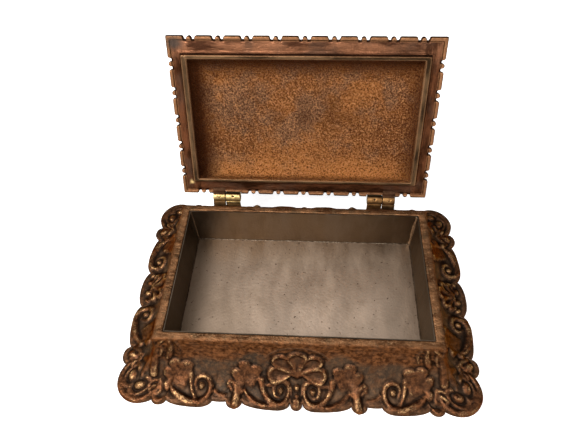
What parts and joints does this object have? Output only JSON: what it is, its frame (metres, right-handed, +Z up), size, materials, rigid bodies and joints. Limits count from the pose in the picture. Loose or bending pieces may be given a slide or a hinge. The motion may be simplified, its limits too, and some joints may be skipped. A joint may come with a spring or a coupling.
{
  "type": "hinged trinket box",
  "caption": "Rectangular cast trinket box with a flared scalloped foot, sheet-metal liner and a domed lid on two pin hinges, shown open.",
  "frame": {"origin": "centre of the underside of the felt, on the surface that the box stands on", "axes": "+X to the right along the long side, -Y to the front, +Z up"},
  "size_m": [0.2122, 0.1697, 0.1305],
  "materials": {
    "base_bronze": "aged bronze, dark in the hollows and rubbed to copper on the relief",
    "lid_bronze": "aged bronze, pebbled on the inside",
    "tin": "dull stained tin sheet",
    "plate": "dull",
    "screws": "dull",
    "felt": "pressed felt",
    "brass": "worn brass"
  },
  "bodies": {
    "base": {"base_casting": "base_bronze", "liner_floor": "tin", "liner_wall_front": "tin", "liner_wall_back": "tin", "liner_wall_left": "tin", "liner_wall_right": "tin", "bottom_plate": "plate", "bottom_screw_1": "screws", "bottom_screw_2": "screws", "bottom_screw_3": "screws", "bottom_screw_4": "screws", "felt_pad": "felt", "hinge_base_knuckle_left": "brass", "hinge_base_knuckle_right": "brass", "hinge_base_screw_left_inner": "screws", "hinge_base_screw_left_outer": "screws", "hinge_base_screw_right_inner": "screws", "hinge_base_screw_right_outer": "screws", "hinge_pin_left": "brass", "hinge_pin_right": "brass"},
    "lid": {"lid_casting": "lid_bronze", "hinge_lid_knuckle_left": "brass", "hinge_lid_knuckle_right": "brass", "hinge_lid_rivet_left": "brass", "hinge_lid_rivet_right": "brass"}
  },
  "joints": [
    {"name": "lid_hinge", "type": "hinge", "parent": "base", "child": "lid", "pos_m": [0, 0.054, 0.036], "axis": [1, 0, 0], "range_deg": [0, 113]}
  ]
}
